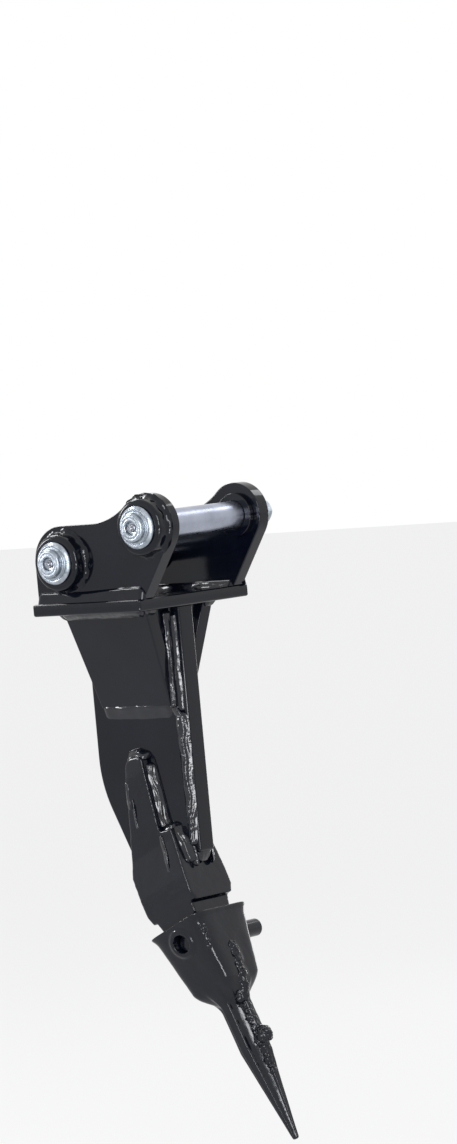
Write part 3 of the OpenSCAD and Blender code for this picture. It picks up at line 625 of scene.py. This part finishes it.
def beadMesh(bead, seed, points, faces):
    stations = bead["stations"]
    lumps = bead["lumps"]
    ridge = bead["ridge"]
    runs = [0.0]
    for before, after in zip(stations, stations[1:]):
        runs.append(runs[-1] + (after[0] - before[0]).length)
    total = runs[-1]
    count = max(beadGrid["fewest"], int(total / beadGrid["step"]))
    across = beadGrid["across"]
    start = len(points)
    for k in range(count + 1):
        run = total * k / count
        leg = max(i for i in range(len(runs) - 1) if runs[i] <= run + 1e-6)
        t = (run - runs[leg]) / max(1e-6, runs[leg + 1] - runs[leg])
        root, a, b = (stations[leg][i].lerp(stations[leg + 1][i], t) for i in range(3))
        crown = blend(stations[leg][3], stations[leg + 1][3], t)
        out = bead["lean"] or (a.normalized() + b.normalized()).normalized()
        edge = min(run, total - run) / (0.5 * (a - b).length)
        ends = math.sqrt(max(0.02, 1 - (1 - min(1.0, edge)) ** 2))
        swell = 1 + lumps * noise.noise(Vector((run * 0.07, seed, 0.4)))
        for m in range(across + 1):
            s = m / across
            arch = min(s / ridge, (1 - s) / (1 - ridge)) if ridge else math.sin(math.pi * s) ** 0.8
            sway = noise.noise(Vector((run * 0.06, seed, 2.2 + s)))
            runsAlong = math.sin(math.pi * s) * math.sin(5 * math.pi * s + 5 * sway)
            arch += bead["streak"] * runsAlong
            phase = run / bead["pitch"] - 0.5 * arch + 0.4 * noise.noise(Vector((run * 0.15, seed, 7.1)))
            scale = swell * (1 + bead["ripple"] * (abs(math.sin(math.pi * phase)) - 0.6))
            flow = 1 + 0.6 * lumps * noise.noise(Vector((run * 0.05, seed * 3.7, s * 3.0)))
            toe = a.lerp(b, s) * (1 + bead["ragged"] * noise.noise(Vector((run * 0.1, seed + s * 2, 1.3))))
            points.append(root + toe * ends + out * crown * arch * ends * scale * flow)
        points.append(root - (a + b) * 0.06)
    ring = across + 2
    for k in range(count):
        low = start + k * ring
        for m in range(ring):
            n = (m + 1) % ring
            faces.append((low + m, low + n, low + ring + n, low + ring + m))
    faces.append(tuple(start + m for m in range(ring)))
    faces.append(tuple(start + count * ring + m for m in reversed(range(ring))))


def station(root, a, b, crown):
    return Vector(root), Vector(a), Vector(b), crown


def bead(stations, pitch=4.0, ripple=0.2, lumps=0.3, ragged=0.08, lean=None, ridge=None, streak=0.0):
    way = Vector(lean).normalized() if lean else None  # way that the crown bulges
    return {"stations": stations, "pitch": pitch, "ripple": ripple, "lumps": lumps, "ragged": ragged,
            "lean": way, "ridge": ridge, "streak": streak}


def onFarSide(beads):
    flip = Matrix.Diagonal((1, -1, 1))
    mirrored = []
    for each in beads:
        stations = [(flip @ root, flip @ a, flip @ b, crown) for root, a, b, crown in each["stations"]]
        lean = flip @ each["lean"] if each["lean"] else None
        mirrored.append({**each, "stations": stations, "lean": lean})
    return mirrored


def weldPiece(name, node, beads, material=weldPaint):
    points, faces = [], []
    for seed, each in enumerate(beads):
        beadMesh(each, seed + 1.5, points, faces)
    piece = meshPiece(name, points, faces)
    smoothByAngle(piece, 70)
    keep(piece, "painted_weld", material, node)


# Ear feet: long smooth fillets, rounded off at the front corner
earFoot = [
    bead([station((-158.5, -82, -75), (0, 0, 12), (0, -5.8, 0), 1.5),
          station((-90, -82, -75), (0, 0, 11), (0, -5.8, 0), 1.2),
          station((-40, -82, -75), (0, 0, 13), (0, -5.8, 0), 1.7),
          station((-10, -82, -75), (0, 0, 13), (0, -6.2, 0), 1.9)],
         pitch=9, ripple=0.0, lumps=0.12, ragged=0.02, lean=(0, -1, 0), ridge=1 / 6),
    bead([station((-158.5, -66, -75), (0, 0, 6), (0, 6, 0), 0.6),
          station((-14, -66, -75), (0, 0, 6), (0, 6, 0), 0.6)],
         pitch=7, ripple=0.05, lumps=0.4, ragged=0.05, lean=(0, 1, 0), ridge=1 / 6),
]
weldPiece("near_ear_beads", "near_ear_welds", earFoot, glossPaint)
weldPiece("far_ear_beads", "far_ear_welds", onFarSide(earFoot), glossPaint)

# Cheek tops: under the base plate, round both ends of each cheek
cheekTop = [
    bead([station((-148, -56, -88), (0, -8.5, 0), (0, 3.1, -8.5), 1.4),
          station((-37, -56, -88), (0, -8.5, 0), (0, 3.1, -8.5), 1.4)],
         pitch=6, ripple=0.15),
    bead([station((-149, -58, -88), (-9, -2, 0), (0.8, 3, -9), 1.6),
          station((-149, -38, -88), (-8, 0, 0), (0.8, 0, -8), 1.4)]),
    bead([station((-35.5, -57, -88), (6, -1, 0), (-0.6, 3, -7), 1.2),
          station((-35.5, -40, -88), (6, 0, 0), (-0.6, 0, -7), 1.2)]),
]
weldPiece("cheek_top_beads", "cheek_top_welds", cheekTop + onFarSide(cheekTop))

# Cheek feet and the throats in front
cheekFoot = [
    bead([station((-140, -15, -194), (0, -3.4, 2), (0, 0.2, -12), 0.8),
          station((-90, -15, -194), (0, -3.6, 2.4), (0, 0.2, -13), 1.2),
          station((-44, -15, -194), (0, -3.4, 2), (0, 0.2, -12), 0.9)],
         pitch=9, ripple=0.05, lumps=0.8, ragged=0.05, lean=(0, -1, 0), ridge=0.16),
    bead([station((-42, -15, -91), (5.5, 1, 0), (0.5, -9, 0), 2.2),
          station((-42, -15, -130), (5.5, 1, 0), (0.5, -7, 0), 2.6),
          station((-42.5, -15, -196), (5, 1, 0), (0.5, -5, 0), 2.4)],
         pitch=11, ripple=0.08, lumps=0.5, ragged=0.08, lean=(0.7, -0.7, 0), streak=0.12),
    bead([station((-45, -17, -190), (3, 0, 3), (-2, 0, -4), 1.6),
          station((-40, -15.5, -199), (3, 0, 3), (-2, 0, -4), 2.6),
          station((-32, -12.5, -210), (3, 0, 2), (-3, 0, -3), 2.6)],
         pitch=7, ripple=0.1, lumps=0.5, ragged=0.1, lean=(0.6, -0.7, 0.1)),
]
weldPiece("cheek_foot_beads", "cheek_foot_welds", cheekFoot + onFarSide(cheekFoot))

# Wear bar: heavy wet-looking passes, widest just below the cheek
barSide = [
    bead([station((-37, -12, -96), (5, 0.6, 0), (-0.4, -2.8, 0), 0.5),
          station((-37, -12, -200), (6, 0.6, 0), (-0.6, -2.8, 0), 0.8)],
         pitch=8, ripple=0.06, lumps=0.3, ragged=0.06),
    bead([station((-36, -13, -200), (8, 1.5, 0), (-5, -2.2, 0), 3.4),
          station((-36, -13, -212), (9.5, 1.5, 0), (-5, -2.2, 0), 4.4),
          station((-36, -13, -260), (9, 1.5, 0), (-4, -2.2, 0), 4.0),
          station((-36, -13, -300), (8.5, 1.5, 0), (-3, -2.2, 0), 3.9),
          station((-36, -13, -342), (5.5, 1.5, 0), (-3, -2.2, 0), 2.6)],
         pitch=6, ripple=0.14, lumps=0.45, ragged=0.1, lean=(0, -1, 0), ridge=0.57, streak=0.16),
]
barFar = [
    bead([station((-36.5, 13, -200), (7, -1.5, 0), (-4, 2.2, 0), 1.0),
          station((-36.5, 13, -342), (5, -1.5, 0), (-3, 2.2, 0), 0.8)],
         pitch=9, ripple=0.15),
]
barEnd = [
    bead([station((-34, -11, -350), (5, 0, 3), (1, 0, -10), 1.0),
          station((-34, 11, -350), (5, 0, 3), (1, 0, -10), 1.0)],
         pitch=6, lumps=0.6),
    bead([station((-40, -13, -343), (6, 0.5, 4), (-3, -2.4, 0), 2.0),
          station((-34, -12.5, -364), (5, 1, 0), (-3, -2.5, 0), 2.2)],
         lumps=0.6),
    bead([station((-40, 13, -343), (6, -0.5, 4), (-3, 2.4, 0), 2.0),
          station((-34, 12.5, -364), (5, -1, 0), (-3, 2.5, 0), 2.2)],
         lumps=0.6),
]
weldPiece("wear_bar_beads", "wear_bar_welds", barSide + onFarSide(barSide[:1]) + barFar + barEnd)

# Straps: front edge, ledge, rounded top, rear edge and the crotch of the fork
strapEdge = [
    bead([station((-84, -15, -252), (7.5, 0, 0), (0, -7.5, 0), 0.8),
          station((-76, -15, -290), (7, 0, 0), (0, -7.5, 0), 0.7),
          station((-68.5, -15, -324), (7.5, 0, 0), (0, -7.5, 0), 1.2)],
         pitch=9, ripple=0.06, lumps=0.5, ragged=0.08, lean=(0.7, -0.7, 0.1), streak=0.3),
    bead([station((-70, -15, -325), (0, 0, 7), (0, -10, -1), 2.4),
          station((-51, -15, -321), (1, 0, 7), (0, -10, -1), 2.6)],
         pitch=6, lumps=0.7),
    bead([station((-54, -15, -319), (6, 0.3, 3), (-1, -8, 0), 1.0),
          station((-46, -15, -338), (8, 0.3, 2), (-1, -9, 0), 1.4),
          station((-38, -15, -360), (8, 0.3, 1.5), (-1, -8, -1.5), 1.2)],
         pitch=8, ripple=0.12, lumps=0.6, ragged=0.12, lean=(0.6, -0.75, 0.28), streak=0.25),
    bead([station((-110, -15, -252), (-5, 0, 3), (0, -9, -1), 1.6),
          station((-103, -15, -246), (-3, 0, 7), (0, -10, -1), 2.4),
          station((-94, -15, -245), (0, 0, 8), (0, -10, -1), 2.6),
          station((-82, -15, -248), (4, 0, 7), (0, -10, -1), 2.2)],
         pitch=8, ripple=0.1, lumps=0.5, ragged=0.1),
    bead([station((-109, -15, -260), (-6, 0, 0), (0, -9, 0), 1.2),
          station((-109, -15, -332), (-6, 0, 0), (0, -9, 0), 1.4)],
         pitch=8, ripple=0.2, lumps=0.6, ragged=0.1),
    bead([station((-109, -27.5, -272), (3.5, -0.8, 0), (-3, 1.5, 0), 1.6),
          station((-106, -28.2, -302), (3, -0.6, 0), (-3, 1, 0), 2.2)],
         pitch=9, ripple=0.15, lumps=1.0, ragged=0.3, lean=(0.4, -0.9, 0)),
    bead([station((-101, -28.4, -290), (2, 0, 0), (-2, 0, 0), 1.4),
          station((-97, -28.6, -322), (2, 0, 0), (-2, 0, 0), 1.4)],
         pitch=9, ripple=0.15, lumps=1.0, ragged=0.3, lean=(0.5, -0.85, 0)),
    bead([station((-66, -29, -329), (3, -0.4, 0), (-3, 0.4, 0), 2.2),
          station((-61, -30.4, -350), (4, -0.4, 0), (-3, 0.4, 0), 2.8),
          station((-54, -32.6, -382), (2, 0, 0), (-2, 0.2, 0), 1.2)],
         pitch=9, ripple=0.15, lumps=1.0, ragged=0.3, lean=(0.6, -0.8, 0.1)),
]
weldPiece("strap_beads", "strap_welds", strapEdge + onFarSide(strapEdge))
print("welds laid")
